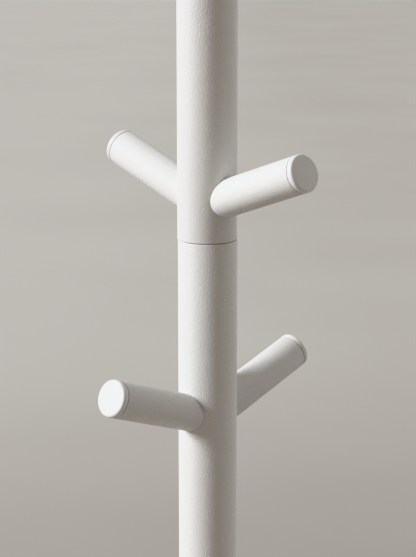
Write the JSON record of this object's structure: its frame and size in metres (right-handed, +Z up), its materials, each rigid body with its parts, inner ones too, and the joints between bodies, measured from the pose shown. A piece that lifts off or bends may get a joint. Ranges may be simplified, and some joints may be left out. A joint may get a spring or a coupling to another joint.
{
  "type": "standing coat rack",
  "caption": "Free-standing coat rack: a round base plate and a slim tubular post in screwed sections, with short upturned pegs in four opposite pairs along its upper half.",
  "frame": {"origin": "on the floor, at the centre of the base and on the post's axis", "axes": "+Z up along the post, -Y towards the front, +X to the right seen from the front"},
  "size_m": [0.38, 0.38, 1.7152],
  "materials": {
    "powder_coat": "fine-textured matt white powder coat on steel",
    "cap_plastic": "smooth matt white moulded plastic",
    "fastener_steel": "plain zinc-plated steel",
    "floor_pad": "matt black rubber"
  },
  "bodies": {
    "base_and_lower_section": {"base_plate": "powder_coat", "base_screw": "fastener_steel", "floor_pad_1": "floor_pad", "floor_pad_2": "floor_pad", "floor_pad_3": "floor_pad", "floor_pad_4": "floor_pad", "floor_pad_5": "floor_pad", "floor_pad_6": "floor_pad", "post_section_1": "powder_coat", "section_1_foot_plug": "fastener_steel", "section_1_top_plug": "fastener_steel", "section_1_stud": "fastener_steel"},
    "second_section": {"post_section_2": "powder_coat", "section_2_foot_plug": "fastener_steel", "section_2_top_plug": "fastener_steel", "section_2_stud": "fastener_steel"},
    "third_section": {"post_section_3": "powder_coat", "section_3_foot_plug": "fastener_steel", "section_3_top_plug": "fastener_steel", "section_3_stud": "fastener_steel", "anchor_1": "fastener_steel", "peg_1_front": "powder_coat", "peg_1_front_screw": "fastener_steel", "peg_1_front_cap": "cap_plastic", "peg_1_back": "powder_coat", "peg_1_back_screw": "fastener_steel", "peg_1_back_cap": "cap_plastic", "anchor_2": "fastener_steel", "peg_2_front": "powder_coat", "peg_2_front_screw": "fastener_steel", "peg_2_front_cap": "cap_plastic", "peg_2_back": "powder_coat", "peg_2_back_screw": "fastener_steel", "peg_2_back_cap": "cap_plastic"},
    "top_section": {"post_section_4": "powder_coat", "section_4_foot_plug": "fastener_steel", "top_cap": "cap_plastic", "anchor_3": "fastener_steel", "peg_3_front": "powder_coat", "peg_3_front_screw": "fastener_steel", "peg_3_front_cap": "cap_plastic", "peg_3_back": "powder_coat", "peg_3_back_screw": "fastener_steel", "peg_3_back_cap": "cap_plastic", "anchor_4": "fastener_steel", "peg_4_front": "powder_coat", "peg_4_front_screw": "fastener_steel", "peg_4_front_cap": "cap_plastic", "peg_4_back": "powder_coat", "peg_4_back_screw": "fastener_steel", "peg_4_back_cap": "cap_plastic"}
  },
  "joints": [
    {"name": "lower_seam_turn", "type": "hinge", "parent": "base_and_lower_section", "child": "second_section", "pos_m": [0, 0, 0.4363], "axis": [0, 0, 1], "continuous": true},
    {"name": "middle_seam_turn", "type": "hinge", "parent": "second_section", "child": "third_section", "pos_m": [0, 0, 0.8613], "axis": [0, 0, 1], "continuous": true},
    {"name": "upper_seam_turn", "type": "hinge", "parent": "third_section", "child": "top_section", "pos_m": [0, 0, 1.2863], "axis": [0, 0, 1], "continuous": true}
  ]
}
